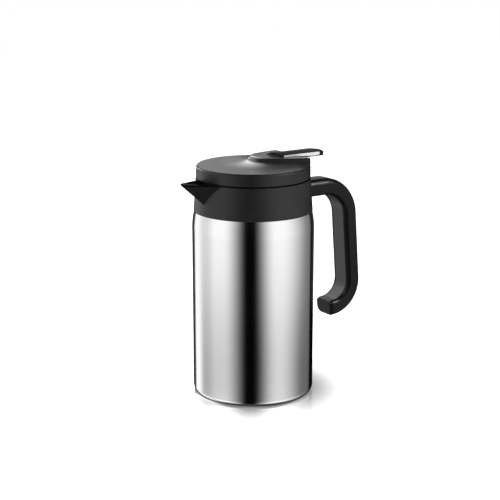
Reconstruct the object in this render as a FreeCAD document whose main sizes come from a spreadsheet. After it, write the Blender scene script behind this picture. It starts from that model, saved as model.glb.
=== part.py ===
import FreeCAD, Part
import math
import os
import re

import Sketcher
from FreeCAD import Placement, Rotation, Vector

# Thermal carafe: a vacuum flask with a beak-spouted collar, an open handle and a screw lid with a pour lever.
# The origin is on the table under the flask's axis, +Z is up, +X points to the handle and -X to the spout.

# Driving sizes: millimetres, degrees for names that end in angle, and plain numbers for counts.
SIZES = {
    # Clearances and overruns that several pieces share
    "running_gap": 0.3,
    "push_fit": 0.15,
    "overrun": 5.0,
    # Outer shell and base cup
    "body_radius": 53.0,
    "shell_wall": 0.8,
    "base_round": 4.6,
    "seam_rise": 0.6,
    "foot_width": 3.4,
    "base_recess": 3.0,
    "wall_top": 147.0,
    "shoulder_height": 15.6,
    "shoulder_draw": 1.9,
    "ledge_width": 2.5,
    "spigot_height": 3.4,
    "neck_draw": 6.6,
    "neck_slope_height": 3.5,
    "neck_height": 4.5,
    # Inner flask and what is sealed in the vacuum
    "vacuum_gap": 4.2,
    "floor_gap": 5.2,
    "flask_wall": 0.7,
    "flask_round": 10.0,
    "flask_shoulder_rise": 3.0,
    "flask_neck_drop": 6.0,
    "foil_thickness": 0.3,
    "foil_margin": 3.0,
    "foil_inset": 2.0,
    "getter_radius": 5.0,
    "getter_height": 2.4,
    "button_radius": 6.0,
    "button_height": 1.2,
    "evacuation_radius": 1.5,
    # Collar with its seal and spout
    "collar_height": 28.2,
    "collar_proud": 0.5,
    "collar_draw": 2.1,
    "collar_wall": 3.5,
    "lip_seal_height": 1.2,
    "lip_seal_width": 2.8,
    "flange_height": 1.8,
    "flange_width": 8.8,
    "spout_inset": 3.0,
    "spout_length": 30.1,
    "spout_half_width": 20.8,
    "spout_depth": 23.9,
    "spout_rim_drop": 1.1,
    "spout_rise": 3.4,
    "spout_tip_half_width": 0.9,
    "spout_tip_depth": 1.7,
    "spout_wall": 2.2,
    "channel_depth": 10.3,
    "channel_half_width": 7.0,
    # Handle
    "handle_rise": 12.8,
    "handle_width": 24.0,
    "handle_depth": 14.8,
    "handle_outer_round": 6.8,
    "handle_inner_round": 4.2,
    "arm_length": 20.5,
    "bend_radius": 29.8,
    "grip_lean_angle": 4.5,
    "grip_length": 61.7,
    "hook_radius": 23.3,
    "hook_turn_angle": 89.0,
    "hook_tip": 6.2,
    "hook_end_round": 3.0,
    "grip_cover_start": 5.4,
    "grip_cover_margin": 5.0,
    "grip_cover_thickness": 2.0,
    "grip_cover_seat": 1.5,
    "grip_channel_depth": 8.0,
    "handle_screw_radius": 1.6,
    "handle_screw_head_radius": 2.6,
    "handle_screw_head": 2.4,
    "handle_screw_length": 10.5,
    "handle_screw_recess": 1.05,
    "handle_screw_spread": 5.5,
    "handle_screw_drop": 2.8,
    # Lid body and cover
    "lid_height": 10.8,
    "lid_inset": 0.2,
    "lid_edge_round": 0.7,
    "rim_land": 1.0,
    "rim_ledge": 1.8,
    "rim_drop": 0.8,
    "skirt_depth": 3.1,
    "skirt_wall": 2.2,
    "web_height": 2.0,
    "guide_drop": 4.0,
    "guide_wall": 1.54,
    "cover_fit": 0.2,
    "cover_thickness": 2.6,
    # Hump on the cover, with the trough that the lever lies in
    "hump_height": 7.8,
    "hump_draft_angle": 45.0,
    "hump_fairing": 14.0,
    "hump_crest_round": 5.0,
    "hump_nose_reach": 21.0,
    "hump_nose_radius": 25.6,
    "hump_flare_angle": 20.0,
    "hump_side_radius": 176.0,
    "hump_rear_angle": -1.0,
    "hump_rear_inset": 0.2,
    "scoop_radius": 200.0,
    "scoop_rise": 7.1,
    "scoop_tilt_angle": 4.3,
    "trough_depth": 1.0,
    "trough_gap": 0.5,
    "arm_slot_length": 18.0,
    "arm_slot_gap": 1.5,
    "arm_slot_rise": 2.5,
    # Lever, its trim and its pin
    "pivot_reach": 22.8,
    "pivot_rise": 2.9,
    "pin_radius": 1.5,
    "pin_seat": 2.7,
    "pin_clearance": 0.05,
    "barrel_wall": 1.5,
    "lever_width": 17.6,
    "lever_length": 47.2,
    "lever_drop": 0.6,
    "lever_thickness": 4.1,
    "lever_crown": 1.4,
    "lever_corner_round": 4.5,
    "lever_edge_round": 1.0,
    "dimple_radius": 1.2,
    "dimple_depth": 1.3,
    "dimple_inset": 1.4,
    "trim_start": 3.7,
    "trim_end_margin": 4.6,
    "trim_taper_end": 7.4,
    "trim_lip": 0.2,
    "trim_front_depth": 1.2,
    "trim_rear_lip": 0.4,
    "trim_rear_depth": 2.9,
    "trim_end_round": 1.2,
    "fork_overhang": 2.5,
    "fork_gap": 0.9,
    "fork_height": 2.2,
    "fork_prong": 2.5,
    "fork_slot_gap": 0.5,
    "fork_slot_depth": 4.4,
    "arm_knee_offset": 6.8,
    "arm_shoulder_offset": 11.8,
    # Stopper, its seal and its screws
    "cup_gap": 0.7,
    "cup_depth": 8.7,
    "stopper_plate": 2.0,
    "stopper_seal_height": 1.6,
    "stopper_seal_width": 6.0,
    "window_width": 17.0,
    "window_sill": 0.8,
    "window_lintel": 1.0,
    "window_count": 6,
    "post_wall": 1.55,
    "post_angle": 30.0,
    "post_count": 3,
    "stopper_screw_radius": 1.25,
    "stopper_screw_length": 5.0,
    "stopper_screw_head_radius": 2.6,
    "stopper_screw_head": 1.7,
    # Valve and its spring
    "valve_hole_radius": 11.0,
    "valve_lap": 3.0,
    "valve_seal_height": 2.0,
    "valve_seal_proud": 1.0,
    "valve_boss_radius": 6.0,
    "valve_plate_height": 1.5,
    "stem_radius": 2.0,
    "stem_clearance": 0.06,
    "cap_radius": 4.6,
    "cap_height": 2.6,
    "cap_roof": 0.8,
    "spring_radius": 5.5,
    "spring_wire_radius": 0.45,
    "spring_turn_count": 5,
}

# Sizes and places that follow from the driving ones.
DERIVED = {
    # Flask
    "seam_height": "=base_round + seam_rise",
    "foot_outer": "=body_radius - base_round",
    "foot_inner": "=foot_outer - foot_width",
    "ledge_height": "=wall_top + shoulder_height",
    "ledge_radius": "=body_radius - shoulder_draw",
    "shoulder_radius": "=(shoulder_height^2 + shoulder_draw^2) / (2 * shoulder_draw)",
    "spigot_radius": "=ledge_radius - ledge_width",
    "spigot_top": "=ledge_height + spigot_height",
    "neck_radius": "=spigot_radius - neck_draw",
    "neck_foot": "=spigot_top + neck_slope_height",
    "lip_top": "=neck_foot + neck_height",
    "flask_floor": "=base_recess + shell_wall + floor_gap",
    "flask_radius": "=body_radius - shell_wall - vacuum_gap",
    "flask_shoulder_foot": "=wall_top + flask_shoulder_rise",
    "flask_neck_foot": "=neck_foot - flask_neck_drop",
    "flask_neck_radius": "=neck_radius - shell_wall",
    "foil_foot": "=flask_floor + flask_round + foil_margin",
    "foil_top": "=wall_top - foil_inset",
    # Collar and spout
    "collar_foot_radius": "=ledge_radius + collar_proud",
    "collar_top_radius": "=collar_foot_radius - collar_draw",
    "collar_top": "=ledge_height + collar_height",
    "bore_radius": "=collar_top_radius - collar_wall",
    "flange_foot": "=lip_top + lip_seal_height",
    "flange_top": "=flange_foot + flange_height",
    "flange_radius": "=bore_radius - flange_width",
    "spout_root_reach": "=bore_radius - spout_inset",
    "spout_tip_reach": "=spout_root_reach + spout_length",
    "spout_root_height": "=collar_top - spout_rim_drop",
    "spout_root_keel": "=spout_root_height - spout_depth",
    "spout_tip_height": "=spout_root_height + spout_rise",
    "channel_floor": "=spout_root_height - channel_depth",
    "channel_rim_half": "=spout_half_width - spout_wall",
    "channel_lip_half": "=spout_tip_half_width / 2",
    "channel_lip_reach": "=spout_tip_reach - spout_tip_half_width",
    # Handle
    "handle_height": "=ledge_height + handle_rise",
    "handle_inner_face": "=handle_height - handle_depth / 2",
    "handle_outer_face": "=handle_height + handle_depth / 2",
    "handle_half_width": "=handle_width / 2",
    "arm_root": "=collar_top_radius - collar_wall / 2",
    "arm_reach": "=collar_foot_radius + arm_length",
    "bend_end_x": "=arm_reach + bend_radius * cos(grip_lean_angle)",
    "bend_end_z": "=handle_height - bend_radius * (1 - sin(grip_lean_angle))",
    "grip_end_x": "=bend_end_x + grip_length * sin(grip_lean_angle)",
    "grip_end_z": "=bend_end_z - grip_length * cos(grip_lean_angle)",
    "hook_end_angle": "=hook_turn_angle - grip_lean_angle",
    "hook_end_x": "=grip_end_x + hook_radius * (cos(hook_end_angle) - cos(grip_lean_angle))",
    "hook_end_z": "=grip_end_z - hook_radius * (sin(grip_lean_angle) + sin(hook_end_angle))",
    "hook_tip_x": "=hook_end_x - hook_tip * sin(hook_end_angle)",
    "hook_tip_z": "=hook_end_z - hook_tip * cos(hook_end_angle)",
    "grip_cover_root": "=collar_foot_radius + grip_cover_start",
    "grip_cover_half": "=handle_half_width - grip_cover_margin",
    "grip_cover_back": "=handle_inner_face + grip_cover_thickness",
    "grip_channel_half": "=grip_cover_half - grip_cover_seat",
    "grip_channel_back": "=handle_inner_face + grip_channel_depth",
    "handle_screw_seat": "=neck_radius + push_fit + handle_screw_recess + handle_screw_head",
    "handle_screw_height": "=handle_height - handle_screw_drop",
    # Lid
    "lid_radius": "=collar_top_radius - lid_inset",
    "lid_foot": "=collar_top + running_gap",
    "lid_top": "=lid_foot + lid_height",
    "rim_top": "=lid_top - rim_drop",
    "rim_inner": "=lid_radius - rim_land",
    "rim_ledge_inner": "=rim_inner - rim_ledge",
    "skirt_radius": "=bore_radius - running_gap",
    "skirt_inner": "=skirt_radius - skirt_wall",
    "web_foot": "=lid_foot - skirt_depth",
    "web_top": "=web_foot + web_height",
    "guide_radius": "=stem_radius + stem_clearance",
    "guide_boss_radius": "=guide_radius + guide_wall",
    "cover_radius": "=rim_inner - cover_fit",
    "cover_foot": "=lid_top - cover_thickness",
    "hump_top": "=lid_top + hump_height",
    "hump_joint_reach": "=hump_nose_reach - hump_nose_radius * sin(hump_flare_angle)",
    "hump_joint_half": "=hump_nose_radius * cos(hump_flare_angle)",
    "hump_rear_reach": "=hump_joint_reach + hump_side_radius * (sin(hump_flare_angle) - sin(hump_rear_angle))",
    "hump_rear_half": "=hump_joint_half + hump_side_radius * (cos(hump_rear_angle) - cos(hump_flare_angle))",
    "hump_rear_radius": "=hump_rear_half / cos(hump_rear_angle)",
    "hump_rear_wall": "=lid_radius - hump_rear_inset",
    "plate_blank_radius": "=hump_rear_reach + 3 * hump_rear_radius",
    # Lever
    "pivot_height": "=lid_top + pivot_rise",
    "barrel_radius": "=pin_radius + pin_clearance + barrel_wall",
    "lever_half_width": "=lever_width / 2",
    "lever_foot": "=pivot_height - lever_drop",
    "lever_side_top": "=lever_foot + lever_thickness",
    "lever_crown_radius": "=(lever_half_width^2 + lever_crown^2) / (2 * lever_crown)",
    "lever_end": "=pivot_reach + lever_length",
    "dimple_spread": "=lever_half_width - dimple_inset",
    "trough_floor": "=lid_top - trough_depth",
    "trough_half_width": "=lever_half_width + trough_gap",
    "trough_front": "=pivot_reach - barrel_radius - trough_gap",
    "pin_length": "=2 * (trough_half_width + pin_seat)",
    "trim_front": "=pivot_reach + trim_start",
    "trim_rear": "=lever_end - trim_end_margin",
    "trim_knee": "=trim_rear - trim_taper_end",
    "trim_front_top": "=lever_side_top - trim_lip",
    "trim_front_foot": "=trim_front_top - trim_front_depth",
    "trim_rear_top": "=lever_side_top - trim_rear_lip",
    "trim_rear_foot": "=trim_rear_top - trim_rear_depth",
    "fork_foot": "=web_top + fork_gap",
    "fork_top": "=fork_foot + fork_height",
    "fork_slot_half": "=stem_radius + fork_slot_gap",
    "fork_half_width": "=fork_slot_half + fork_prong",
    "arm_slot_rear": "=pivot_reach + barrel_radius + arm_slot_gap",
    "arm_slot_front": "=arm_slot_rear - arm_slot_length",
    "arm_slot_half": "=fork_half_width + arm_slot_gap",
    "arm_slot_roof": "=lid_top + arm_slot_rise",
    # Stopper and valve
    "stopper_seal_foot": "=flange_top + running_gap",
    "stopper_seal_radius": "=skirt_radius - running_gap",
    "shelf_foot": "=stopper_seal_foot + stopper_seal_height + running_gap",
    "shelf_top": "=shelf_foot + stopper_plate",
    "cup_radius": "=flange_radius - cup_gap",
    "cup_inner": "=cup_radius - skirt_wall",
    "stopper_floor": "=shelf_foot - cup_depth",
    "stopper_floor_top": "=stopper_floor + stopper_plate",
    "window_foot": "=shelf_top + window_sill",
    "window_height": "=web_foot - window_lintel - window_foot",
    "post_radius": "=stopper_screw_radius + post_wall",
    "post_reach": "=(cup_inner + skirt_inner) / 2",
    "post_x": "=post_reach * cos(post_angle)",
    "post_y": "=post_reach * sin(post_angle)",
    "valve_seal_foot": "=stopper_floor_top + running_gap",
    "valve_seal_radius": "=valve_hole_radius + valve_lap",
    "valve_plate_foot": "=valve_seal_foot + valve_seal_height",
    "valve_plate_top": "=valve_plate_foot + valve_plate_height",
    "valve_plate_radius": "=valve_seal_radius - valve_seal_proud",
    "cap_foot": "=fork_top + running_gap",
    "cap_top": "=cap_foot + cap_height",
    "stem_top": "=cap_top - cap_roof",
}

doc = FreeCAD.newDocument("thermal_carafe")
sheet = doc.addObject("Spreadsheet::Sheet", "Sizes")
for row, (alias, value) in enumerate([*SIZES.items(), *DERIVED.items()], start=1):
    sheet.set(f"A{row}", alias)
    sheet.set(f"B{row}", str(value))
    sheet.setAlias(f"B{row}", alias)
doc.recompute()

NODES = {}


def bound(expression):
    """The expression with every size in it looked up in the sheet."""

    def looked_up(word):
        return f"Sizes.{word[0]}" if sheet.getCellFromAlias(word[0]) else word[0]

    return re.sub(r"[a-z_]+", looked_up, expression)


def number(expression):
    """The value of an expression in the sheet's sizes."""
    return float(sheet.evalExpression(expression))


def new_body(label):
    """An empty body, kept under its node's name."""
    body = doc.addObject("PartDesign::Body", label)
    body.Label = label
    NODES[label] = body
    return body


def new_sketch(body, role, name, offset="0"):
    """An empty sketch on one of the body's own origin planes, moved along that plane's normal."""
    sketch = body.newObject("Sketcher::SketchObject", name)
    plane = next(item for item in body.Origin.OriginFeatures if item.Role == role)
    sketch.AttachmentSupport = [(plane, "")]
    sketch.MapMode = "FlatFace"
    sketch.setExpression("AttachmentOffset.Base.z", bound(offset))
    return sketch


def constrain(sketch, kind, *items, to):
    """Adds a sketch dimension that follows an expression."""
    index = sketch.addConstraint(Sketcher.Constraint(kind, *items, number(to)))
    sketch.setExpression(f"Constraints[{index}]", bound(to))


def arc_between(start, finish, radius, turn):
    """The short arc from start to finish that turns left or right."""
    chord = finish - start
    rise = math.sqrt(max(radius**2 - (chord.Length / 2) ** 2, 0))
    side = Vector(-chord.y, chord.x).normalize() * (rise if turn == "left" else -rise)
    centre = start + chord / 2 + side
    first, last = (start, finish) if turn == "left" else (finish, start)
    angles = [math.atan2(point.y - centre.y, point.x - centre.x) for point in (first, last)]
    return Part.ArcOfCircle(Part.Circle(centre, Vector(0, 0, 1), radius), *angles)


def outline(sketch, *steps, closed=True):
    """Draws lines and arcs through steps of (x, y), or (x, y, radius, turn) where an arc leads there."""
    corners = [Vector(number(step[0]), number(step[1])) for step in steps]
    ends = []
    for index in range(len(steps) if closed else len(steps) - 1):
        following = (index + 1) % len(steps)
        bend = steps[following][2:]
        if bend:
            arc = arc_between(corners[index], corners[following], number(bend[0]), bend[1])
            piece = sketch.addGeometry(arc)
            constrain(sketch, "Radius", piece, to=bend[0])
        else:
            piece = sketch.addGeometry(Part.LineSegment(corners[index], corners[following]))
        ends.append((piece, 2, 1) if bend and bend[1] == "right" else (piece, 1, 2))
    for index, (piece, first, last) in enumerate(ends):
        if closed or index + 1 < len(ends):
            after, after_first, _ = ends[(index + 1) % len(ends)]
            sketch.addConstraint(Sketcher.Constraint("Coincident", piece, last, after, after_first))
    places = [(piece, first) for piece, first, _ in ends]
    if not closed:
        places.append((ends[-1][0], ends[-1][2]))
    for (piece, end), step in zip(places, steps):
        constrain(sketch, "DistanceX", -1, 1, piece, end, to=step[0])
        constrain(sketch, "DistanceY", -1, 1, piece, end, to=step[1])


def circle(sketch, x, y, radius):
    """Draws a circle about (x, y)."""
    piece = sketch.addGeometry(Part.Circle(Vector(number(x), number(y)), Vector(0, 0, 1), number(radius)))
    constrain(sketch, "Radius", piece, to=radius)
    constrain(sketch, "DistanceX", -1, 1, piece, 3, to=x)
    constrain(sketch, "DistanceY", -1, 1, piece, 3, to=y)


def rectangle(sketch, left, right, low, high):
    """Draws an upright rectangle."""
    outline(sketch, (left, low), (right, low), (right, high), (left, high))


def feature(body, kind, name, profile, **settings):
    """A feature made from a sketch, with plain settings."""
    made = body.newObject(f"PartDesign::{kind}", name)
    made.Profile = profile
    for key, value in settings.items():
        setattr(made, key, value)
    profile.Visibility = False
    return made


def turned(body, name, *steps, kind="Revolution"):
    """Turns an outline of (radius, height) steps once round the axis."""
    profile = new_sketch(body, "XZ_Plane", f"{name}_profile")
    outline(profile, *steps)
    made = feature(body, kind, name, profile, Angle=360)
    made.ReferenceAxis = (profile, ["V_Axis"])
    return made


def extruded(body, kind, name, profile, length, **settings):
    """A pad or pocket whose length follows an expression."""
    made = feature(body, kind, name, profile, **settings)
    made.setExpression("Length", bound(length))
    return made


def around(body, name, original, profile, count):
    """Repeats a feature evenly round the axis."""
    pattern = body.newObject("PartDesign::PolarPattern", name)
    pattern.Originals = [original]
    pattern.Axis = (profile, ["N_Axis"])
    pattern.Angle = 360
    pattern.setExpression("Occurrences", bound(count))
    body.Tip = pattern


def rounded(body, name, radius, chosen):
    """Fillets those edges of the body, as built so far, that the test chooses."""
    doc.recompute()
    base = body.Tip
    names = [f"Edge{index}" for index, edge in enumerate(base.Shape.Edges, start=1) if chosen(edge)]
    made = body.newObject("PartDesign::Fillet", name)
    made.Base = (base, names)
    made.setExpression("Radius", bound(radius))


def at_height(edge, height):
    """Whether an edge lies flat at a height."""
    box = edge.BoundBox
    level = number(height)
    tolerance = number("push_fit")
    return abs(box.ZMin - level) < tolerance and abs(box.ZMax - level) < tolerance


def cylinder(label, radius, height, place, axis="z"):
    """A plain cylinder from a place, along +X or +Z."""
    made = doc.addObject("Part::Cylinder", label)
    if axis == "x":
        made.Placement = Placement(Vector(), Rotation(Vector(0, 1, 0), 90))
    made.setExpression("Radius", bound(radius))
    made.setExpression("Height", bound(height))
    for key, value in zip("xyz", place):
        made.setExpression(f"Placement.Base.{key}", bound(value))
    return made


def joined(label, pieces):
    """One node from several primitives: those that touch become one solid."""
    made = doc.addObject("Part::MultiFuse", label)
    made.Label = label
    made.Shapes = pieces
    NODES[label] = made


def make_outer_shell():
    """Steel tube with a softly drawn shoulder, a ledge for the collar and a neck."""
    body = new_body("outer_shell")
    turned(
        body, "shell_wall_turned",
        ("body_radius", "seam_height"),
        ("body_radius", "wall_top"),
        ("ledge_radius", "ledge_height", "shoulder_radius", "left"),
        ("spigot_radius", "ledge_height"),
        ("spigot_radius", "spigot_top"),
        ("neck_radius", "neck_foot"),
        ("neck_radius", "lip_top"),
        ("neck_radius - shell_wall", "lip_top"),
        ("neck_radius - shell_wall", "neck_foot - shell_wall"),
        ("spigot_radius - shell_wall", "spigot_top - shell_wall"),
        ("spigot_radius - shell_wall", "ledge_height - shell_wall"),
        ("ledge_radius - shell_wall", "ledge_height - shell_wall"),
        ("body_radius - shell_wall", "wall_top", "shoulder_radius", "right"),
        ("body_radius - shell_wall", "seam_height"),
    )


def make_base_cup():
    """Bottom cup with the rounded foot edge, the ring it stands on and the recess inside the ring."""
    body = new_body("base_cup")
    turned(
        body, "cup_turned",
        ("evacuation_radius", "base_recess"),
        ("foot_inner", "base_recess"),
        ("foot_inner", "0"),
        ("foot_outer", "0"),
        ("body_radius", "base_round", "base_round", "left"),
        ("body_radius", "seam_height"),
        ("body_radius - shell_wall", "seam_height"),
        ("body_radius - shell_wall", "base_round"),
        ("foot_outer", "shell_wall", "base_round - shell_wall", "right"),
        ("foot_inner + shell_wall", "shell_wall"),
        ("foot_inner + shell_wall", "base_recess + shell_wall"),
        ("evacuation_radius", "base_recess + shell_wall"),
    )


def make_inner_flask():
    """Inner vessel: rounded floor, straight wall and a cone up to the neck that is welded at the lip."""
    body = new_body("inner_flask")
    turned(
        body, "flask_turned",
        ("0", "flask_floor"),
        ("flask_radius - flask_round", "flask_floor"),
        ("flask_radius", "flask_floor + flask_round", "flask_round", "left"),
        ("flask_radius", "flask_shoulder_foot"),
        ("flask_neck_radius", "flask_neck_foot"),
        ("flask_neck_radius", "lip_top"),
        ("flask_neck_radius - flask_wall", "lip_top"),
        ("flask_neck_radius - flask_wall", "flask_neck_foot - flask_wall"),
        ("flask_radius - flask_wall", "flask_shoulder_foot - flask_wall"),
        ("flask_radius - flask_wall", "flask_floor + flask_round"),
        ("flask_radius - flask_round", "flask_floor + flask_wall", "flask_round - flask_wall", "right"),
        ("0", "flask_floor + flask_wall"),
    )


def make_vacuum_pieces():
    """The foil round the inner flask, the getter under its floor and the button over the evacuation hole."""
    foil = new_body("heat_shield")
    turned(
        foil, "foil_turned",
        ("flask_radius", "foil_foot"),
        ("flask_radius + foil_thickness", "foil_foot"),
        ("flask_radius + foil_thickness", "foil_top"),
        ("flask_radius", "foil_top"),
    )
    getter = cylinder("getter", "getter_radius", "getter_height", ("0", "0", "flask_floor - getter_height"))
    NODES["getter"] = getter
    button = new_body("vacuum_seal")
    turned(
        button, "button_turned",
        ("0", "base_recess - button_height"),
        ("button_radius", "base_recess - button_height"),
        ("button_radius", "base_recess"),
        ("evacuation_radius", "base_recess"),
        ("evacuation_radius", "base_recess + shell_wall"),
        ("0", "base_recess + shell_wall"),
    )


def make_collar():
    """Collar: a tapered ring with the beak, a socket for the steel neck below and the lid's bore above."""
    body = new_body("collar")
    turned(
        body, "collar_ring",
        ("flange_radius", "ledge_height"),
        ("collar_foot_radius", "ledge_height"),
        ("collar_top_radius", "collar_top"),
        ("flange_radius", "collar_top"),
    )
    root = new_sketch(body, "YZ_Plane", "beak_root", "-spout_root_reach")
    outline(
        root,
        ("0", "spout_root_keel"),
        ("spout_half_width", "spout_root_height"),
        ("-spout_half_width", "spout_root_height"),
    )
    tip = new_sketch(body, "YZ_Plane", "beak_tip", "-spout_tip_reach")
    outline(
        tip,
        ("0", "spout_tip_height - spout_tip_depth"),
        ("spout_tip_half_width", "spout_tip_height"),
        ("-spout_tip_half_width", "spout_tip_height"),
    )
    feature(body, "AdditiveLoft", "beak", root, Sections=[tip], Ruled=True)
    turned(
        body, "neck_socket",
        ("flange_radius - overrun", "ledge_height - overrun"),
        ("spigot_radius + push_fit", "ledge_height - overrun"),
        ("spigot_radius + push_fit", "spigot_top + push_fit"),
        ("neck_radius + push_fit", "neck_foot + push_fit"),
        ("neck_radius + push_fit", "flange_foot"),
        ("flange_radius - overrun", "flange_foot"),
        kind="Groove",
    )
    turned(
        body, "lid_bore",
        ("flange_radius - overrun", "flange_top"),
        ("bore_radius", "flange_top"),
        ("bore_radius", "collar_top + overrun"),
        ("flange_radius - overrun", "collar_top + overrun"),
        kind="Groove",
    )
    mouth = new_sketch(body, "YZ_Plane", "channel_mouth", "-spout_root_reach")
    outline(
        mouth,
        ("-channel_half_width", "channel_floor"),
        ("channel_half_width", "channel_floor"),
        ("channel_rim_half", "spout_root_height"),
        ("channel_rim_half", "spout_root_height + overrun"),
        ("-channel_rim_half", "spout_root_height + overrun"),
        ("-channel_rim_half", "spout_root_height"),
    )
    lip = new_sketch(body, "YZ_Plane", "channel_lip", "-channel_lip_reach")
    outline(
        lip,
        ("-channel_lip_half / 2", "spout_tip_height - spout_tip_depth / 2"),
        ("channel_lip_half / 2", "spout_tip_height - spout_tip_depth / 2"),
        ("channel_lip_half", "spout_tip_height"),
        ("channel_lip_half", "spout_tip_height + overrun"),
        ("-channel_lip_half", "spout_tip_height + overrun"),
        ("-channel_lip_half", "spout_tip_height"),
    )
    feature(body, "SubtractiveLoft", "channel", mouth, Sections=[lip], Ruled=True)
    for name, radius, start in (
        ("screw_hole", "handle_screw_radius + push_fit", "bore_radius / 2"),
        ("screw_head_seat", "handle_screw_head_radius + push_fit", "bore_radius / 2"),
    ):
        holes = new_sketch(body, "YZ_Plane", f"{name}_profile", start)
        circle(holes, "handle_screw_spread", "handle_screw_height", radius)
        circle(holes, "-handle_screw_spread", "handle_screw_height", radius)
        reach = "handle_screw_seat" if name == "screw_head_seat" else "collar_foot_radius + overrun"
        extruded(body, "Pocket", name, holes, f"{reach} - {start}", Reversed=True)


def make_collar_seal():
    """Silicone ring that the collar presses on the steel lip."""
    body = new_body("collar_seal")
    turned(
        body, "lip_seal_turned",
        ("neck_radius - lip_seal_width", "lip_top"),
        ("neck_radius", "lip_top"),
        ("neck_radius", "flange_foot"),
        ("neck_radius - lip_seal_width", "flange_foot"),
    )


def handle_route(body, name, start):
    """The handle's centre line from a start on the arm: arm, bend, leaning grip and hook."""
    route = new_sketch(body, "XZ_Plane", name)
    steps = [
        (start, "handle_height"),
        ("arm_reach", "handle_height"),
        ("bend_end_x", "bend_end_z", "bend_radius", "right"),
        ("grip_end_x", "grip_end_z"),
        ("hook_end_x", "hook_end_z", "hook_radius", "right"),
    ]
    if start == "arm_root":
        steps.append(("hook_tip_x", "hook_tip_z"))
    outline(route, *steps, closed=False)
    return route


def swept(body, kind, name, profile, route):
    """Sweeps a profile along the handle's centre line."""
    made = feature(body, kind, name, profile)
    doc.recompute()
    made.Spine = (route, [f"Edge{index}" for index in range(1, len(route.Shape.Edges) + 1)])
    made.Transition = "Transformed"
    route.Visibility = False


def make_handle_shell():
    """Outer moulding of the handle: flat inside, rounded outside and hollow behind its cover."""
    body = new_body("handle_shell")
    section = new_sketch(body, "YZ_Plane", "grip_section", "arm_root")
    outline(
        section,
        ("handle_inner_round - handle_half_width", "handle_inner_face", "handle_inner_round", "left"),
        ("handle_half_width - handle_inner_round", "handle_inner_face"),
        ("handle_half_width", "handle_inner_face + handle_inner_round", "handle_inner_round", "left"),
        ("handle_half_width", "handle_outer_face - handle_outer_round"),
        ("handle_half_width - handle_outer_round", "handle_outer_face", "handle_outer_round", "left"),
        ("handle_outer_round - handle_half_width", "handle_outer_face"),
        ("-handle_half_width", "handle_outer_face - handle_outer_round", "handle_outer_round", "left"),
        ("-handle_half_width", "handle_inner_face + handle_inner_round"),
    )
    swept(body, "AdditivePipe", "grip", section, handle_route(body, "grip_route", "arm_root"))
    tip = Vector(number("hook_tip_x"), 0, number("hook_tip_z"))
    onward = Vector(-number("sin(hook_end_angle)"), 0, -number("cos(hook_end_angle)"))

    def tip_edge(edge):
        return all(abs((corner.Point - tip).dot(onward)) < number("push_fit") for corner in edge.Vertexes)

    rounded(body, "hook_end", "hook_end_round", tip_edge)
    cut = new_sketch(body, "YZ_Plane", "hollow_section", "grip_cover_root")
    outline(
        cut,
        ("-grip_cover_half", "handle_inner_face - push_fit"),
        ("grip_cover_half", "handle_inner_face - push_fit"),
        ("grip_cover_half", "grip_cover_back"),
        ("grip_channel_half", "grip_cover_back"),
        ("grip_channel_half", "grip_channel_back"),
        ("-grip_channel_half", "grip_channel_back"),
        ("-grip_channel_half", "grip_cover_back"),
        ("-grip_cover_half", "grip_cover_back"),
    )
    swept(body, "SubtractivePipe", "hollow", cut, handle_route(body, "hollow_route", "grip_cover_root"))
    root = body.newObject("PartDesign::SubtractiveCone", "collar_side")
    root.setExpression("Radius1", bound("collar_foot_radius"))
    root.setExpression("Radius2", bound("collar_top_radius"))
    root.setExpression("Height", bound("collar_height"))
    root.setExpression("Placement.Base.z", bound("ledge_height"))
    holes = new_sketch(body, "YZ_Plane", "pilot_profile", "handle_screw_seat")
    circle(holes, "handle_screw_spread", "handle_screw_height", "handle_screw_radius")
    circle(holes, "-handle_screw_spread", "handle_screw_height", "handle_screw_radius")
    extruded(body, "Pocket", "pilots", holes, "handle_screw_length", Reversed=True)


def make_handle_cover():
    """Flat cover let into the handle's inner face."""
    body = new_body("handle_cover")
    section = new_sketch(body, "YZ_Plane", "cover_section", "grip_cover_root")
    rectangle(
        section,
        "-grip_cover_half", "grip_cover_half",
        "handle_inner_face", "grip_cover_back",
    )
    swept(body, "AdditivePipe", "cover_strip", section, handle_route(body, "cover_route", "grip_cover_root"))


def make_handle_screws():
    """Two screws from inside the collar into the handle's root."""
    pieces = []
    for side in ("handle_screw_spread", "-handle_screw_spread"):
        tag = "left" if side.startswith("-") else "right"
        head_place = ("handle_screw_seat - handle_screw_head", side, "handle_screw_height")
        shank_place = ("handle_screw_seat", side, "handle_screw_height")
        pieces += [
            cylinder(f"screw_head_{tag}", "handle_screw_head_radius", "handle_screw_head", head_place, "x"),
            cylinder(f"screw_shank_{tag}", "handle_screw_radius", "handle_screw_length", shank_place, "x"),
        ]
    joined("handle_screws", pieces)


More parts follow.
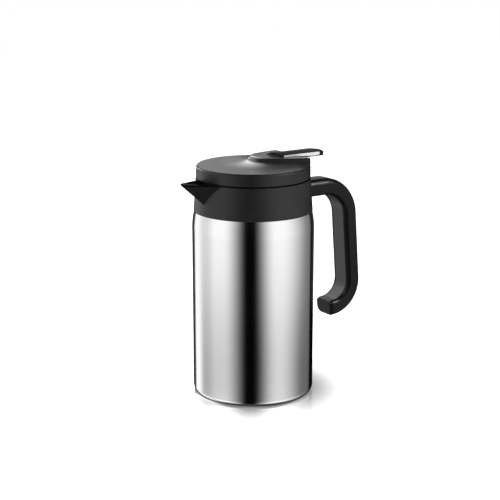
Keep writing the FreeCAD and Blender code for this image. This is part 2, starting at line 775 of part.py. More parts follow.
def make_lid_body():
    """Lid moulding: rim, ledge for the cover, skirt in the collar's bore and a web with the stem's guide."""
    body = new_body("lid_body")
    turned(
        body, "lid_turned",
        ("guide_radius", "web_foot - guide_drop"),
        ("guide_boss_radius", "web_foot - guide_drop"),
        ("guide_boss_radius", "web_foot"),
        ("skirt_radius", "web_foot"),
        ("skirt_radius", "lid_foot"),
        ("lid_radius", "lid_foot"),
        ("lid_radius", "rim_top - lid_edge_round"),
        ("lid_radius - lid_edge_round", "rim_top", "lid_edge_round", "left"),
        ("rim_inner", "rim_top"),
        ("rim_inner", "cover_foot"),
        ("rim_ledge_inner", "cover_foot"),
        ("rim_ledge_inner", "lid_foot + web_height"),
        ("skirt_inner", "lid_foot + web_height"),
        ("skirt_inner", "web_top"),
        ("guide_radius", "web_top"),
    )
    notch = new_sketch(body, "XY_Plane", "lever_notch_profile", "trough_floor - running_gap")
    rectangle(notch, "lid_radius / 2", "lid_radius + overrun", "-trough_half_width", "trough_half_width")
    extruded(body, "Pocket", "lever_notch", notch, "overrun", Reversed=True)
    hole = new_sketch(body, "XY_Plane", "screw_hole_profile", "web_foot - overrun")
    circle(hole, "post_x", "post_y", "stopper_screw_radius + push_fit")
    made = extruded(body, "Pocket", "screw_hole_web", hole, "web_height + 2 * overrun", Reversed=True)
    around(body, "screw_holes_web", made, hole, "post_count")


def make_lid_cover():
    """Lid top: a flat plate with a fan-shaped hump, faired in all round and scooped under the lever."""
    body = new_body("lid_cover")
    turned(
        body, "plate_blank",
        ("0", "cover_foot"),
        ("plate_blank_radius", "cover_foot"),
        ("plate_blank_radius", "lid_top"),
        ("0", "lid_top"),
    )
    fan = new_sketch(body, "XY_Plane", "fan_profile", "lid_top")
    outline(
        fan,
        ("hump_rear_reach", "-hump_rear_half", "hump_side_radius", "left"),
        ("hump_rear_reach", "hump_rear_half", "hump_rear_radius", "left"),
        ("hump_joint_reach", "hump_joint_half", "hump_side_radius", "left"),
        ("hump_joint_reach", "-hump_joint_half", "hump_nose_radius", "left"),
    )
    hump = extruded(body, "Pad", "fan", fan, "hump_height")
    hump.setExpression("TaperAngle", bound("-hump_draft_angle"))
    blank_limit = number("plate_blank_radius")
    rounded(
        body, "fairing", "hump_fairing",
        lambda edge: at_height(edge, "lid_top") and edge.BoundBox.DiagonalLength < blank_limit,
    )
    scoop = body.newObject("PartDesign::SubtractiveCylinder", "scoop")
    scoop.setExpression("Radius", bound("scoop_radius"))
    scoop.setExpression("Height", bound("2 * plate_blank_radius"))
    scoop.Placement = Placement(Vector(), Rotation(Vector(0, 1, 0), 90 + number("scoop_tilt_angle")))
    scoop.setExpression("Placement.Base.z", bound("lid_top + scoop_rise + scoop_radius"))
    rounded(
        body, "crest", "hump_crest_round",
        lambda edge: edge.BoundBox.ZMin > number("lid_top + hump_crest_round / 2"),
    )
    turned(
        body, "round_trim",
        ("cover_radius", "cover_foot - overrun"),
        ("plate_blank_radius + overrun", "cover_foot - overrun"),
        ("plate_blank_radius + overrun", "hump_top + overrun"),
        ("hump_rear_wall", "hump_top + overrun"),
        ("hump_rear_wall", "lid_top + push_fit"),
        ("cover_radius", "lid_top + push_fit"),
        kind="Groove",
    )
    trough = new_sketch(body, "XY_Plane", "trough_profile", "trough_floor")
    rectangle(trough, "trough_front", "lid_radius + overrun", "-trough_half_width", "trough_half_width")
    extruded(body, "Pocket", "trough", trough, "hump_height + overrun", Reversed=True)
    slot = new_sketch(body, "XY_Plane", "arm_slot_profile", "cover_foot - overrun")
    rectangle(slot, "arm_slot_front", "arm_slot_rear", "-arm_slot_half", "arm_slot_half")
    extruded(body, "Pocket", "arm_slot", slot, "arm_slot_roof - cover_foot + overrun", Reversed=True)
    pin = new_sketch(body, "XZ_Plane", "pin_hole_profile")
    circle(pin, "pivot_reach", "pivot_height", "pin_radius")
    extruded(body, "Pocket", "pin_hole", pin, "pin_length", Midplane=True)


def make_lever():
    """Thumb lever: crowned plate, hinge barrel, and an inner arm whose fork lifts the valve stem."""
    body = new_body("lever")
    plate = new_sketch(body, "YZ_Plane", "plate_section", "pivot_reach")
    outline(
        plate,
        ("-lever_half_width", "lever_foot"),
        ("lever_half_width", "lever_foot"),
        ("lever_half_width", "lever_side_top"),
        ("-lever_half_width", "lever_side_top", "lever_crown_radius", "left"),
    )
    extruded(body, "Pad", "plate", plate, "lever_end - pivot_reach")
    corner = number("lever_end - lever_corner_round")

    def rear_corner(edge):
        box = edge.BoundBox
        tall = box.ZLength > number("lever_side_top - lever_foot") / 2
        upright = tall and max(box.XLength, box.YLength) < number("push_fit")
        return upright and box.XMin > corner

    rounded(body, "rear_corners", "lever_corner_round", rear_corner)

    def top_edge(edge):
        box = edge.BoundBox
        return box.ZMin > number("lever_side_top - push_fit") and box.XMax > number("pivot_reach")

    rounded(body, "top_edges", "lever_edge_round", top_edge)
    barrel = new_sketch(body, "XZ_Plane", "barrel_profile")
    circle(barrel, "pivot_reach", "pivot_height", "barrel_radius")
    extruded(body, "Pad", "barrel", barrel, "lever_width", Midplane=True)
    arm = new_sketch(body, "XZ_Plane", "arm_profile")
    outline(
        arm,
        ("-fork_overhang", "fork_foot"),
        ("pivot_reach - arm_knee_offset", "fork_foot"),
        ("pivot_reach + barrel_radius - pin_radius / 2", "pivot_height - pin_radius"),
        ("pivot_reach", "pivot_height + barrel_radius / 2"),
        ("pivot_reach - barrel_radius + pin_radius / 2", "pivot_height"),
        ("pivot_reach - arm_shoulder_offset", "fork_top"),
        ("-fork_overhang", "fork_top"),
    )
    extruded(body, "Pad", "arm", arm, "2 * fork_half_width", Midplane=True)
    fork = new_sketch(body, "XY_Plane", "fork_profile", "fork_foot - overrun")
    rectangle(fork, "-fork_overhang - overrun", "fork_slot_depth", "-fork_slot_half", "fork_slot_half")
    extruded(body, "Pocket", "fork", fork, "fork_height + 2 * overrun", Reversed=True)
    bore = new_sketch(body, "XZ_Plane", "bore_profile")
    circle(bore, "pivot_reach", "pivot_height", "pin_radius + pin_clearance")
    extruded(body, "Pocket", "bore", bore, "pin_length", Midplane=True)
    core = new_sketch(body, "XZ_Plane", "core_profile")
    trim_outline(core)
    extruded(body, "Pocket", "core_slot", core, "pin_length", Midplane=True)
    dimples = new_sketch(body, "XY_Plane", "dimple_profile", "lever_side_top - dimple_depth")
    circle(dimples, "pivot_reach", "dimple_spread", "dimple_radius")
    circle(dimples, "pivot_reach", "-dimple_spread", "dimple_radius")
    extruded(body, "Pocket", "dimples", dimples, "dimple_depth + overrun", Reversed=True)


def trim_outline(sketch):
    """Side view of the lever's bright core: thin at the hinge, deep and round-ended at the thumb."""
    outline(
        sketch,
        ("trim_front", "trim_front_foot"),
        ("trim_knee", "trim_rear_foot"),
        ("trim_rear - trim_end_round", "trim_rear_foot"),
        ("trim_rear", "trim_rear_foot + trim_end_round", "trim_end_round", "left"),
        ("trim_rear", "trim_rear_top - trim_end_round"),
        ("trim_rear - trim_end_round", "trim_rear_top", "trim_end_round", "left"),
        ("trim_front", "trim_front_top"),
    )


def make_lever_trim():
    """Bright metal core of the lever, flush with both of its sides."""
    body = new_body("lever_trim")
    side = new_sketch(body, "XZ_Plane", "trim_profile")
    trim_outline(side)
    extruded(body, "Pad", "trim", side, "lever_width", Midplane=True)


def make_lever_pin():
    """Steel hinge pin held in the hump's cheeks."""
    body = new_body("lever_pin")
    section = new_sketch(body, "XZ_Plane", "pin_profile")
    circle(section, "pivot_reach", "pivot_height", "pin_radius")
    extruded(body, "Pad", "pin", section, "pin_length", Midplane=True)


def make_stopper():
    """Stopper cup: valve seat, shelf, windowed wall below the lid's web, and the screw posts."""
    body = new_body("stopper")
    turned(
        body, "stopper_turned",
        ("valve_hole_radius", "stopper_floor"),
        ("cup_radius", "stopper_floor"),
        ("cup_radius", "shelf_foot"),
        ("skirt_radius", "shelf_foot"),
        ("skirt_radius", "web_foot"),
        ("skirt_inner", "web_foot"),
        ("skirt_inner", "shelf_top"),
        ("cup_inner", "shelf_top"),
        ("cup_inner", "stopper_floor_top"),
        ("valve_hole_radius", "stopper_floor_top"),
    )
    post = new_sketch(body, "XY_Plane", "post_profile", "shelf_foot")
    circle(post, "post_x", "post_y", "post_radius")
    circle(post, "post_x", "post_y", "stopper_screw_radius")
    made = extruded(body, "Pad", "post", post, "web_foot - shelf_foot")
    around(body, "posts", made, post, "post_count")
    window = new_sketch(body, "XY_Plane", "window_profile", "window_foot")
    rectangle(
        window,
        "skirt_radius - 2 * skirt_wall", "skirt_radius + skirt_wall",
        "-window_width / 2", "window_width / 2",
    )
    made = extruded(body, "Pocket", "window", window, "window_height", Reversed=True)
    around(body, "windows", made, window, "window_count")


def make_stopper_seal():
    """Silicone ring between the stopper's shelf and the collar's flange."""
    body = new_body("stopper_seal")
    turned(
        body, "stopper_seal_turned",
        ("stopper_seal_radius - stopper_seal_width", "stopper_seal_foot"),
        ("stopper_seal_radius", "stopper_seal_foot"),
        ("stopper_seal_radius", "stopper_seal_foot + stopper_seal_height"),
        ("stopper_seal_radius - stopper_seal_width", "stopper_seal_foot + stopper_seal_height"),
    )


def make_stopper_screws():
    """Screws through the lid's web into the stopper's posts."""
    pieces = []
    for index in range(int(number("post_count"))):
        angle = f"(post_angle + 360 * {index} / post_count)"
        place = (f"post_reach * cos({angle})", f"post_reach * sin({angle})")
        shank = (*place, "web_top - stopper_screw_length")
        head = (*place, "web_top")
        pieces += [
            cylinder(f"lid_screw_shank_{index}", "stopper_screw_radius", "stopper_screw_length", shank),
            cylinder(f"lid_screw_head_{index}", "stopper_screw_head_radius", "stopper_screw_head", head),
        ]
    joined("stopper_screws", pieces)


def make_valve():
    """Valve stem with its plate, the silicone ring under the plate and the cap that the fork lifts."""
    stem = new_body("valve_stem")
    turned(
        stem, "stem_turned",
        ("0", "valve_seal_foot"),
        ("valve_boss_radius", "valve_seal_foot"),
        ("valve_boss_radius", "valve_plate_foot"),
        ("valve_plate_radius", "valve_plate_foot"),
        ("valve_plate_radius", "valve_plate_top"),
        ("stem_radius", "valve_plate_top"),
        ("stem_radius", "stem_top"),
        ("0", "stem_top"),
    )
    ring = new_body("valve_seal")
    turned(
        ring, "valve_seal_turned",
        ("valve_boss_radius", "valve_seal_foot"),
        ("valve_seal_radius", "valve_seal_foot"),
        ("valve_seal_radius", "valve_plate_foot"),
        ("valve_boss_radius", "valve_plate_foot"),
    )
    cap = new_body("stem_cap")
    turned(
        cap, "cap_turned",
        ("stem_radius", "cap_foot"),
        ("cap_radius", "cap_foot"),
        ("cap_radius", "cap_top"),
        ("0", "cap_top"),
        ("0", "stem_top"),
        ("stem_radius", "stem_top"),
    )


def make_valve_spring():
    """Closing spring round the stem: one unbroken wire of half-turn arcs between the plate and the web."""
    radius = number("spring_radius")
    wire = number("spring_wire_radius")
    low = number("valve_plate_top + spring_wire_radius + running_gap / 2")
    high = number("web_foot - spring_wire_radius - running_gap / 2")
    half_turns = 2 * int(number("spring_turn_count"))

    def place(step):
        angle = math.pi * step
        height = low + (high - low) * step / half_turns
        return Vector(radius * math.cos(angle), radius * math.sin(angle), height)

    arcs = []
    for step in range(half_turns):
        arcs.append(Part.Arc(place(step), place(step + 1 / 2), place(step + 1)).toShape())
    start = arcs[0].tangentAt(arcs[0].FirstParameter)
    ring = Part.Wire(Part.Circle(place(0), start, wire).toShape())
    coil = doc.addObject("Part::Feature", "valve_spring")
    coil.Shape = Part.Wire(arcs).makePipeShell([ring], True, False)
    coil.Placement = Placement()
    NODES["valve_spring"] = coil
    samples = 12
    points = [point for arc in arcs for point in arc.discretize(samples)]
    apart = samples
    near = min(
        first.distanceToPoint(second)
        for index, first in enumerate(points)
        for second in points[index + apart :]
    )
    print("valve_spring: least gap between turns", round(near - 2 * wire, 2), "mm")


make_outer_shell()
make_base_cup()
make_inner_flask()
make_vacuum_pieces()
make_collar()
make_collar_seal()
make_handle_shell()
make_handle_cover()
make_handle_screws()
make_lid_body()
make_lid_cover()
make_lever()
make_lever_trim()
make_lever_pin()
make_stopper()
make_stopper_seal()
make_stopper_screws()
make_valve()
make_valve_spring()
doc.recompute()

failed = [item.Label for item in doc.Objects if {"Invalid", "Error"} & set(item.State)]
failed += [label for label, item in NODES.items() if item.Shape.isNull() or not item.Shape.isValid()]
if failed:
    raise RuntimeError(f"failed to build: {failed}")
os.makedirs("parts", exist_ok=True)
for label, item in NODES.items():
    item.Shape.exportStep(f"parts/{label}.step")
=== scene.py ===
import math

import bpy
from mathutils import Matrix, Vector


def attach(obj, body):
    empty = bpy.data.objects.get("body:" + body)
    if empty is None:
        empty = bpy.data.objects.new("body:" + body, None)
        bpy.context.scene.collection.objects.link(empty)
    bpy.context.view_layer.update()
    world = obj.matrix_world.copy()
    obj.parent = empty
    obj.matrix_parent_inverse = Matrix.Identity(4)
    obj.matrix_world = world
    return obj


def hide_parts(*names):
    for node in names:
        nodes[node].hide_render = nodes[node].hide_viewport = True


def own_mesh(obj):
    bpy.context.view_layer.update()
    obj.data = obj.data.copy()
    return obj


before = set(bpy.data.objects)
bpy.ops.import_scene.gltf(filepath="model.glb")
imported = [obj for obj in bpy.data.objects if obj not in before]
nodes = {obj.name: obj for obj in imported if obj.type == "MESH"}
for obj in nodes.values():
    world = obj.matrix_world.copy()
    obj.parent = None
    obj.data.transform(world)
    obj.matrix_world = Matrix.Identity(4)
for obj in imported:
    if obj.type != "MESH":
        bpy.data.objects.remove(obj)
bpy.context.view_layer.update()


# Steel flask: the drawn outer shell, the bottom cup welded under it and the inner vessel, all of stainless
# sheet. The outside is brushed round the body with a belt, so the finest lines run round it.
class Wire:
    """A shader socket that takes part in sums, and adds nodes beside itself."""

    def __init__(self, tree, socket=None):
        self.tree = tree
        self.socket = socket

    def add(self, kind, settings=None, sockets=None, out=0):
        node = self.tree.nodes.new(kind)
        for key, value in (settings or {}).items():
            setattr(node, key, value)
        for key, value in (sockets or {}).items():
            if isinstance(value, Wire):
                self.tree.links.new(value.socket, node.inputs[key])
            else:
                node.inputs[key].default_value = value
        return Wire(self.tree, node.outputs[out] if len(node.outputs) else None)

    def maths(self, operation, first, second=0.0):
        return self.add("ShaderNodeMath", {"operation": operation}, {0: first, 1: second})

    def __add__(self, other):
        return self.maths("ADD", self, other)

    def __sub__(self, other):
        return self.maths("SUBTRACT", self, other)

    def __rsub__(self, other):
        return self.maths("SUBTRACT", other, self)

    def __mul__(self, other):
        return self.maths("MULTIPLY", self, other)

    __radd__ = __add__

    def part(self, name):
        """Another output of the node that this socket belongs to."""
        return Wire(self.tree, self.socket.node.outputs[name])

    def clamped(self, low, high, start=0.0, end=1.0):
        """Goes softly from start to end as the value goes from low to high."""
        return self.add(
            "ShaderNodeMapRange",
            {"interpolation_type": "SMOOTHSTEP"},
            {"Value": self, "From Min": low, "From Max": high, "To Min": start, "To Max": end},
        )


def new_finish(name):
    """An empty node material, and the place in its tree that nodes are added from."""
    material = bpy.data.materials.new(name)
    material.use_nodes = True
    material.node_tree.nodes.clear()
    return material, Wire(material.node_tree)


def close_finish(start, shader):
    """Puts the finished shader on the material's output."""
    start.add("ShaderNodeOutputMaterial", None, {"Surface": shader})


def dress(material, *names):
    """Puts one finish on every slot of the named CAD pieces."""
    for name in names:
        mesh = nodes[name].data
        mesh.materials.clear()
        mesh.materials.append(material)


def brushed(name, colour, rough, lines):
    """Metal brushed round the upright axis: fine lines in height, long ones round the body."""
    material, start = new_finish(name)
    place = start.add("ShaderNodeTexCoord", None, None, "Object")
    parts = start.add("ShaderNodeSeparateXYZ", None, {"Vector": place})
    turn = start.maths("ARCTAN2", parts.part("Y"), parts.part("X"))
    lines_round = 0.35
    strip = start.add(
        "ShaderNodeCombineXYZ",
        None,
        {"X": turn * lines_round, "Y": parts.part("Z") * lines, "Z": 0.0},
    )
    line = start.add(
        "ShaderNodeTexNoise",
        None,
        {"Vector": strip, "Scale": 1.0, "Detail": 3.0, "Roughness": 0.7},
    )
    cloud = start.add("ShaderNodeTexNoise", None, {"Vector": place, "Scale": 22.0, "Detail": 2.0})
    line_share = 0.75
    shade = line * line_share + cloud * (1.0 - line_share)
    darkest = 0.94
    dark = tuple(value * darkest for value in colour)
    tone = start.add(
        "ShaderNodeMix",
        {"data_type": "RGBA"},
        {"Factor": shade.clamped(0.25, 0.75), "A": (*dark, 1.0), "B": (*colour, 1.0)},
        2,
    )
    relief = start.add("ShaderNodeBump", None, {"Strength": 0.05, "Distance": 0.0002, "Height": line})
    shader = start.add(
        "ShaderNodeBsdfPrincipled",
        None,
        {
            "Base Color": tone,
            "Metallic": 1.0,
            "Roughness": shade.clamped(0.2, 0.8, rough - 0.03, rough + 0.04),
            "Normal": relief,
        },
    )
    close_finish(start, shader)
    return material


shell_steel = brushed("shell_steel", (0.86, 0.86, 0.865), 0.12, 5200.0)
inner_steel = brushed("inner_steel", (0.74, 0.74, 0.745), 0.26, 2600.0)
dress(shell_steel, "outer_shell", "base_cup")
dress(inner_steel, "inner_flask")


# Sealed in the vacuum: copper-toned foil wrapped round the inner vessel, a pressed getter pellet, and the
# brazed button that closes the hole the air was drawn out of.
def plain_metal(name, colour, rough, grain):
    """Metal with a slightly uneven shine and no direction."""
    material, start = new_finish(name)
    place = start.add("ShaderNodeTexCoord", None, None, "Object")
    spots = start.add("ShaderNodeTexNoise", None, {"Vector": place, "Scale": grain, "Detail": 4.0})
    darkest = 0.85
    dark = tuple(value * darkest for value in colour)
    tone = start.add(
        "ShaderNodeMix",
        {"data_type": "RGBA"},
        {"Factor": spots.clamped(0.3, 0.7), "A": (*dark, 1.0), "B": (*colour, 1.0)},
        2,
    )
    shader = start.add(
        "ShaderNodeBsdfPrincipled",
        None,
        {"Base Color": tone, "Metallic": 1.0, "Roughness": spots.clamped(0.3, 0.7, rough, rough + 0.12)},
    )
    close_finish(start, shader)
    return material


dress(plain_metal("wrapped_foil", (0.82, 0.55, 0.38), 0.2, 160.0), "heat_shield")
dress(plain_metal("pressed_getter", (0.42, 0.42, 0.43), 0.5, 900.0), "getter")
dress(plain_metal("brazed_button", (0.55, 0.54, 0.52), 0.35, 500.0), "vacuum_seal")


# Collar with the beak spout: one black moulding, pushed over the steel neck. Its skin has the fine grain of
# an eroded mould, which gives a soft satin shine. Where the lid meets it, a dark band of painted shade stands
# in for the shadow in the gap.
def moulded(name, colour, rough, shine=0.5, shaded_gap_height=None):
    """Black moulded plastic: fine grain, a little cloud in its shine, and a dark band of painted shade along
    the gap at a joint.
    """
    material, start = new_finish(name)
    place = start.add("ShaderNodeTexCoord", None, None, "Object")
    pits = start.add("ShaderNodeTexNoise", None, {"Vector": place, "Scale": 2600.0, "Detail": 2.0})
    cloud = start.add("ShaderNodeTexNoise", None, {"Vector": place, "Scale": 60.0, "Detail": 3.0})
    paler = 1.25
    dust = 0.002
    light = tuple(min(value * paler + dust, 1.0) for value in colour)
    pit_share = 0.6
    uneven = (pits * pit_share + cloud * (1.0 - pit_share)).clamped(0.3, 0.7)
    tone = start.add(
        "ShaderNodeMix",
        {"data_type": "RGBA"},
        {"Factor": uneven, "A": (*colour, 1.0), "B": (*light, 1.0)},
        2,
    )
    bump = start.add("ShaderNodeBump", None, {"Strength": 0.12, "Distance": 0.0001, "Height": pits})
    shader = start.add(
        "ShaderNodeBsdfPrincipled",
        None,
        {
            "Base Color": tone,
            "Roughness": cloud.clamped(0.3, 0.7, rough - 0.03, rough + 0.04),
            "Specular IOR Level": shine,
            "Normal": bump,
        },
    )
    # Painted shade: a black matte band about a millimetre wide at the joint's height, standing in for the
    # shadow in the gap between lid and collar.
    if shaded_gap_height is not None:
        height = start.add("ShaderNodeSeparateXYZ", None, {"Vector": place}).part("Z")
        off_gap_shade = start.maths("ABSOLUTE", height - shaded_gap_height).clamped(0.0003, 0.001)
        gap_shade = start.add("ShaderNodeBsdfDiffuse", None, {"Color": (0.001, 0.001, 0.001, 1.0)})
        shader = start.add("ShaderNodeMixShader", None, {0: off_gap_shade, 1: gap_shade, 2: shader})
    close_finish(start, shader)
    return material


# Height of the lid's joint, where black_satin gets its band of painted shade.
lid_joint = 0.19095
black_satin = moulded("black_satin", (0.005, 0.005, 0.0053), 0.44, 0.42, lid_joint)
dress(black_satin, "collar")


# Silicone rings: the one under the collar's flange, the stopper's and the valve's, pressed from
# translucent grey silicone with a dusty surface.
def silicone(name, colour):
    """Silicone rubber with a dusty skin that lets a little light in."""
    material, start = new_finish(name)
    place = start.add("ShaderNodeTexCoord", None, None, "Object")
    dust = start.add("ShaderNodeTexNoise", None, {"Vector": place, "Scale": 700.0, "Detail": 4.0})
    dustiest = 1.12
    pale = tuple(min(value * dustiest, 1.0) for value in colour)
    tone = start.add(
        "ShaderNodeMix",
        {"data_type": "RGBA"},
        {"Factor": dust.clamped(0.35, 0.65), "A": (*colour, 1.0), "B": (*pale, 1.0)},
        2,
    )
    shader = start.add(
        "ShaderNodeBsdfPrincipled",
        None,
        {"Base Color": tone, "Roughness": dust.clamped(0.3, 0.7, 0.5, 0.62), "Subsurface Weight": 0.2},
    )
    close_finish(start, shader)
    return material


dress(silicone("seal_silicone", (0.5, 0.5, 0.48)), "collar_seal", "stopper_seal", "valve_seal")


# Handle: a hollow black moulding with a flat inner face, closed by a cover strip of the same plastic that
# was moulded with a duller skin, and fixed by two screws from inside the collar.
dress(moulded("handle_black", (0.002, 0.002, 0.0021), 0.29, 0.17), "handle_shell")
dress(moulded("grip_cover_black", (0.03, 0.03, 0.031), 0.5), "handle_cover")
screw_steel = plain_metal("screw_steel", (0.62, 0.62, 0.63), 0.28, 800.0)
dress(screw_steel, "handle_screws", "stopper_screws", "lever_pin", "valve_spring")


# Lid: rim and web in one moulding, the cover with its hump snapped in from above, and the stopper cup
# screwed on from inside. The cover has the collar's fine grain from a smoother mould, so it shines more.
dress(black_satin, "lid_body", "stopper")
lid_top_black = moulded("lid_top_black", (0.008, 0.008, 0.0085), 0.21, 0.4)
dress(lid_top_black, "lid_cover")


# Fairing of the hump: the cover's plate swells gently before it turns up into the hump. This is the skin of
# that swelling, of the cover's own plastic, and it lies on the plate from the hump's foot outwards.
plate_top = 0.2019
nose_centre = 0.0195
nose_radius = 0.0214
nose_turn = math.radians(70.0)
side_radius = 0.176
side_length = 0.027
rim_reach = 0.0475
swell_reach = 0.027
foot_height = 0.0032
gentle_height = 0.0026
steep_length = 0.0013
skin_depth = 0.0004
edge_sink = 0.00003
least_reach = 0.0005
full_reach = swell_reach / 1.6
nose_steps = 20
side_steps = 16
rings = 28
ring_crowding = 1.6
half_foot = []
for step in range(nose_steps + 1):
    turn = nose_turn * step / nose_steps
    outward = (-math.cos(turn), -math.sin(turn))
    half_foot.append((nose_centre + nose_radius * outward[0], nose_radius * outward[1], *outward))
flare = math.pi / 2.0 - nose_turn
joint_x, joint_y = half_foot[-1][:2]
for step in range(1, side_steps + 1):
    lean = flare - side_length * step / side_steps / side_radius
    foot_x = joint_x + side_radius * (math.sin(flare) - math.sin(lean))
    foot_y = joint_y - side_radius * (math.cos(lean) - math.cos(flare))
    half_foot.append((foot_x, foot_y, -math.sin(lean), -math.cos(lean)))
foot = [(x, -y, out_x, -out_y) for x, y, out_x, out_y in reversed(half_foot[1:])] + half_foot
skin_points = []
for x, y, out_x, out_y in foot:
    inward = x * out_x + y * out_y
    to_rim = math.sqrt(max(inward ** 2 - x ** 2 - y ** 2 + rim_reach ** 2, 0.0)) - inward
    reach = min(max(to_rim, least_reach), swell_reach)
    full = min(reach / full_reach, 1.0)
    for ring in range(rings + 1):
        share = (ring / rings) ** ring_crowding
        out = reach * share
        gentle = gentle_height * (1.0 - share) ** 2
        steep = (foot_height - gentle_height) * math.exp(-out / steep_length) * (1.0 - share)
        lift = (gentle + steep) * full - edge_sink * share
        skin_points.append((x + out_x * out, y + out_y * out, plate_top + lift))
under_points = [(x, y, plate_top - skin_depth) for x, y, _ in skin_points]
row = rings + 1
count = len(skin_points)
skin_faces = []
for station in range(len(foot) - 1):
    for ring in range(rings):
        first = station * row + ring
        skin_faces.append((first, first + 1, first + row + 1, first + row))
under_faces = [tuple(count + corner for corner in reversed(face)) for face in skin_faces]
edge_loop = list(range(row))
edge_loop += [station * row + rings for station in range(1, len(foot))]
edge_loop += [(len(foot) - 1) * row + ring for ring in range(rings - 1, -1, -1)]
edge_loop += [station * row for station in range(len(foot) - 2, 0, -1)]
wall_faces = []
for here, there in zip(edge_loop, edge_loop[1:] + edge_loop[:1]):
    wall_faces.append((there, here, count + here, count + there))
fairing_mesh = bpy.data.meshes.new("hump_fairing")
fairing_mesh.from_pydata(skin_points + under_points, [], skin_faces + under_faces + wall_faces)
for face in fairing_mesh.polygons:
    face.use_smooth = face.index < len(skin_faces)
fairing_mesh.materials.append(lid_top_black)
hump_fairing = bpy.data.objects.new("hump_fairing", fairing_mesh)
bpy.context.collection.objects.link(hump_fairing)
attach(hump_fairing, "lid")


# Lever: a black shell moulded round a bright metal core that shows as a strip along both sides. Its free
# end is longer and rolled down to the thumb, so a reshaped copy of the shell stands in the plain one's place.
lever_black = moulded("lever_black", (0.006, 0.006, 0.0063), 0.5, 0.05)
dress(lever_black, "lever")
dress(plain_metal("bright_core", (0.92, 0.92, 0.925), 0.34, 300.0), "lever_trim")
lever_foot = 0.2042
plain_end = 0.07
stretch_start = 0.065
stretch = 0.0022
lever_end = plain_end + stretch
roll_length = 0.0085
roll_share = 0.5
thumb_lever = bpy.data.objects.new("thumb_lever", nodes["lever"].data.copy())
bpy.context.collection.objects.link(thumb_lever)
thumb_lever.data.transform(nodes["lever"].matrix_world)
for corner in thumb_lever.data.vertices:
    past = (corner.co.x - stretch_start) / (plain_end - stretch_start)
    corner.co.x += stretch * min(max(past, 0.0), 1.0)
    left = min(max((lever_end - corner.co.x) / roll_length, 0.0), 1.0)
    kept = 1.0 - roll_share * (1.0 - math.sqrt(1.0 - (1.0 - left) ** 2))
    if corner.co.z > lever_foot:
        corner.co.z = lever_foot + (corner.co.z - lever_foot) * kept
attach(thumb_lever, "lever")
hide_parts("lever")


# Valve: stem and cap in dark plastic, lifted by the lever's fork. The steel spring round the stem rests
# against the lid's web above, and shortens as the valve lifts.
dress(moulded("valve_black", (0.05, 0.05, 0.05), 0.4), "valve_stem", "stem_cap")
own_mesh(nodes["valve_spring"])


# Table: a pale glossy sheet. Seen directly it is white, keeps a soft shadow under the flask and mirrors
# the foot faintly for a few centimetres.
bpy.ops.mesh.primitive_plane_add(size=6.0, location=(0.0, 0.0, 0.0))
table = bpy.context.active_object
table.name = "table"
sheet_white, start = new_finish("sheet_white")
seen = start.add("ShaderNodeLightPath", None, None, "Is Camera Ray")
place = start.add("ShaderNodeTexCoord", None, None, "Object")
reach = start.add("ShaderNodeVectorMath", {"operation": "LENGTH"}, {0: place}, "Value")
near = reach.clamped(0.03, 0.115, 1.0, 0.0)
glow = start.add("ShaderNodeEmission", None, {"Color": (1.0, 1.0, 1.0, 1.0), "Strength": 0.69})
matte = start.add("ShaderNodeBsdfDiffuse", None, {"Color": (0.8, 0.8, 0.8, 1.0)})
lit = start.add("ShaderNodeAddShader", None, {0: glow, 1: matte})
mirror = start.add("ShaderNodeBsdfGlossy", None, {"Color": (0.94, 0.94, 0.94, 1.0), "Roughness": 0.1})
shown = start.add("ShaderNodeMixShader", None, {0: near, 1: lit, 2: mirror})
close_finish(start, start.add("ShaderNodeMixShader", None, {0: seen, 1: matte, 2: shown}))
table.data.materials.append(sheet_white)
table.visible_glossy = False


# Studio round the carafe: white screens to the left and right, dim at their feet, with a dark gap at the
# camera and behind, which give the steel its upright bands. The backdrop is lit on its left side, which
# lights the lid's swelling. What is seen directly, past the object, is plain white.
camera_turn = math.radians(35.0)
to_camera = (-math.sin(camera_turn), -math.cos(camera_turn), 0.0)
to_right = (math.cos(camera_turn), -math.sin(camera_turn), 0.0)
screen_level = 1.16
far_right_level = 0.22
flag_depth = 0.32
foot_level = 0.58
foot_strip_level = 0.6
foot_flag_depth = 0.14
right_foot_level = 0.7
far_right_foot_level = 0.14
backdrop_level = 0.55
backdrop_left_level = 4.6
backdrop_right_level = 0.16
roof_level = 0.05
pit_level = 0.06
soft_level = 0.45
studio = bpy.data.worlds.new("studio")
bpy.context.scene.world = studio
studio.use_nodes = True
studio.node_tree.nodes.clear()
start = Wire(studio.node_tree)
ray = start.add("ShaderNodeTexCoord", None, None, "Generated")
front = start.add("ShaderNodeVectorMath", {"operation": "DOT_PRODUCT"}, {0: ray, 1: to_camera}, "Value")
side = start.add("ShaderNodeVectorMath", {"operation": "DOT_PRODUCT"}, {0: ray, 1: to_right}, "Value")
rise = start.add("ShaderNodeSeparateXYZ", None, {"Vector": ray}).part("Z")
heading = start.maths("ARCTAN2", side, front) * math.degrees(1.0)
left_edge = heading.clamped(-146.0, -140.0, 0.03, 1.0)
left_strip = left_edge * heading.clamped(-128.0, -106.0, 1.0, 0.0)
left_flag = heading.clamped(-128.0, -106.0) * heading.clamped(-98.0, -74.0, 1.0, 0.0)
left_end = heading.clamped(-58.0, -12.0, 1.0, 0.0)
right_start = heading.clamped(1.0, 43.0)
right_end = heading.clamped(132.0, 140.0, 1.0, 0.0)
right_fade = heading.clamped(54.0, 130.0, screen_level, far_right_level)
upper = left_edge * left_end * (screen_level - left_flag * flag_depth) + right_start * right_end * right_fade
left_foot = left_strip * foot_strip_level + left_edge * left_end * (foot_level - left_flag * foot_flag_depth)
right_foot_fade = heading.clamped(50.0, 108.0, right_foot_level, far_right_foot_level)
lower = left_foot + heading.clamped(6.0, 50.0) * right_end * right_foot_fade
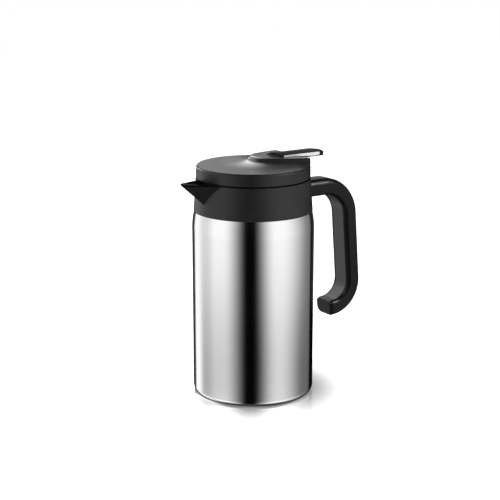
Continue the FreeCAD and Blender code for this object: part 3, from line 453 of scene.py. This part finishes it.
height = start.maths("MAXIMUM", rise.clamped(-0.345, -0.235), rise.clamped(-0.4, -0.352, 1.0, 0.0))
walls = lower + (upper - lower) * height
behind = start.maths("ABSOLUTE", heading).clamped(155.0, 169.0) * rise.clamped(0.0, 0.08)
aside = start.maths("ARCTAN2", side, front * -1.0) * math.degrees(1.0)
backlight = aside.clamped(-7.0, 0.6, backdrop_left_level, backdrop_right_level)
backdrop = backdrop_level + (backlight - backdrop_level) * rise.clamped(0.25, 0.34)
backed = walls + (backdrop - walls) * behind
roofed = backed + (roof_level - backed) * rise.clamped(0.45, 0.75)
screened = roofed + (pit_level - roofed) * rise.clamped(-0.9, -0.72, 1.0, 0.0)
is_seen = start.add("ShaderNodeLightPath", None, None, "Is Camera Ray")
is_mirrored = start.maths("MAXIMUM", is_seen.part("Is Glossy Ray"), is_seen.part("Is Transmission Ray"))
soft = start.add("ShaderNodeBackground", None, {"Color": (1.0, 1.0, 1.0, 1.0), "Strength": soft_level})
screens = start.add("ShaderNodeBackground", None, {"Color": screened, "Strength": 1.0})
white = start.add("ShaderNodeBackground", None, {"Color": (1.0, 1.0, 1.0, 1.0), "Strength": 1.0})
light = start.add("ShaderNodeMixShader", None, {0: is_mirrored, 1: soft, 2: screens})
shown = start.add("ShaderNodeMixShader", None, {0: is_seen, 1: light, 2: white})
start.add("ShaderNodeOutputWorld", None, {"Surface": shown})


# Lamps: four soft rectangles on stands. One above on the left only fills the shadows, one behind on the left
# lights the hump, one high on the right draws the light line along the handle's arm, and a low one behind
# on the left draws the collar's edge.
def screen_lamp(name, place, aim, width, height, power, mirrored=True):
    """A rectangle of light at a place, turned to an aim, that glossy surfaces mirror or don't."""
    lamp = bpy.data.lights.new(name, "AREA")
    lamp.shape = "RECTANGLE"
    lamp.size = width
    lamp.size_y = height
    lamp.energy = power
    item = bpy.data.objects.new(name, lamp)
    bpy.context.collection.objects.link(item)
    item.location = place
    item.rotation_mode = "QUATERNION"
    item.rotation_quaternion = (Vector(aim) - Vector(place)).to_track_quat("-Z", "Y")
    item.visible_glossy = mirrored
    item.visible_camera = False


screen_lamp("overhead", (-0.75, -0.2, 0.75), (0.0, 0.0, 0.15), 0.9, 0.9, 5.0, mirrored=False)
screen_lamp("back_left", (-0.1, 0.97, 0.85), (0.0, 0.0, 0.2), 1.0, 0.7, 3.2)
screen_lamp("arm_strip", (0.74, -0.67, 1.1), (0.07, 0.0, 0.18), 0.45, 0.45, 16.0)
screen_lamp("left_rim", (0.02, 1.0, 0.34), (-0.03, 0.0, 0.19), 0.4, 0.3, 4.0)


# Camera: a long lens, a little above the lid, turned 35 degrees towards the spout's side.
eye_distance = 1.0576
eye_sideways = -0.0027
eye_height = 0.3923
eye_tilt = math.radians(14.128)
eye = bpy.data.cameras.new("camera")
eye.lens = 90.0
eye.sensor_width = 36.0
eye_item = bpy.data.objects.new("camera", eye)
bpy.context.collection.objects.link(eye_item)
eye_item.location = (
    to_camera[0] * eye_distance + to_right[0] * eye_sideways,
    to_camera[1] * eye_distance + to_right[1] * eye_sideways,
    eye_height,
)
eye_item.rotation_euler = (math.pi / 2.0 - eye_tilt, 0.0, -camera_turn)
bpy.context.scene.camera = eye_item
bpy.context.scene.view_settings.view_transform = "Standard"
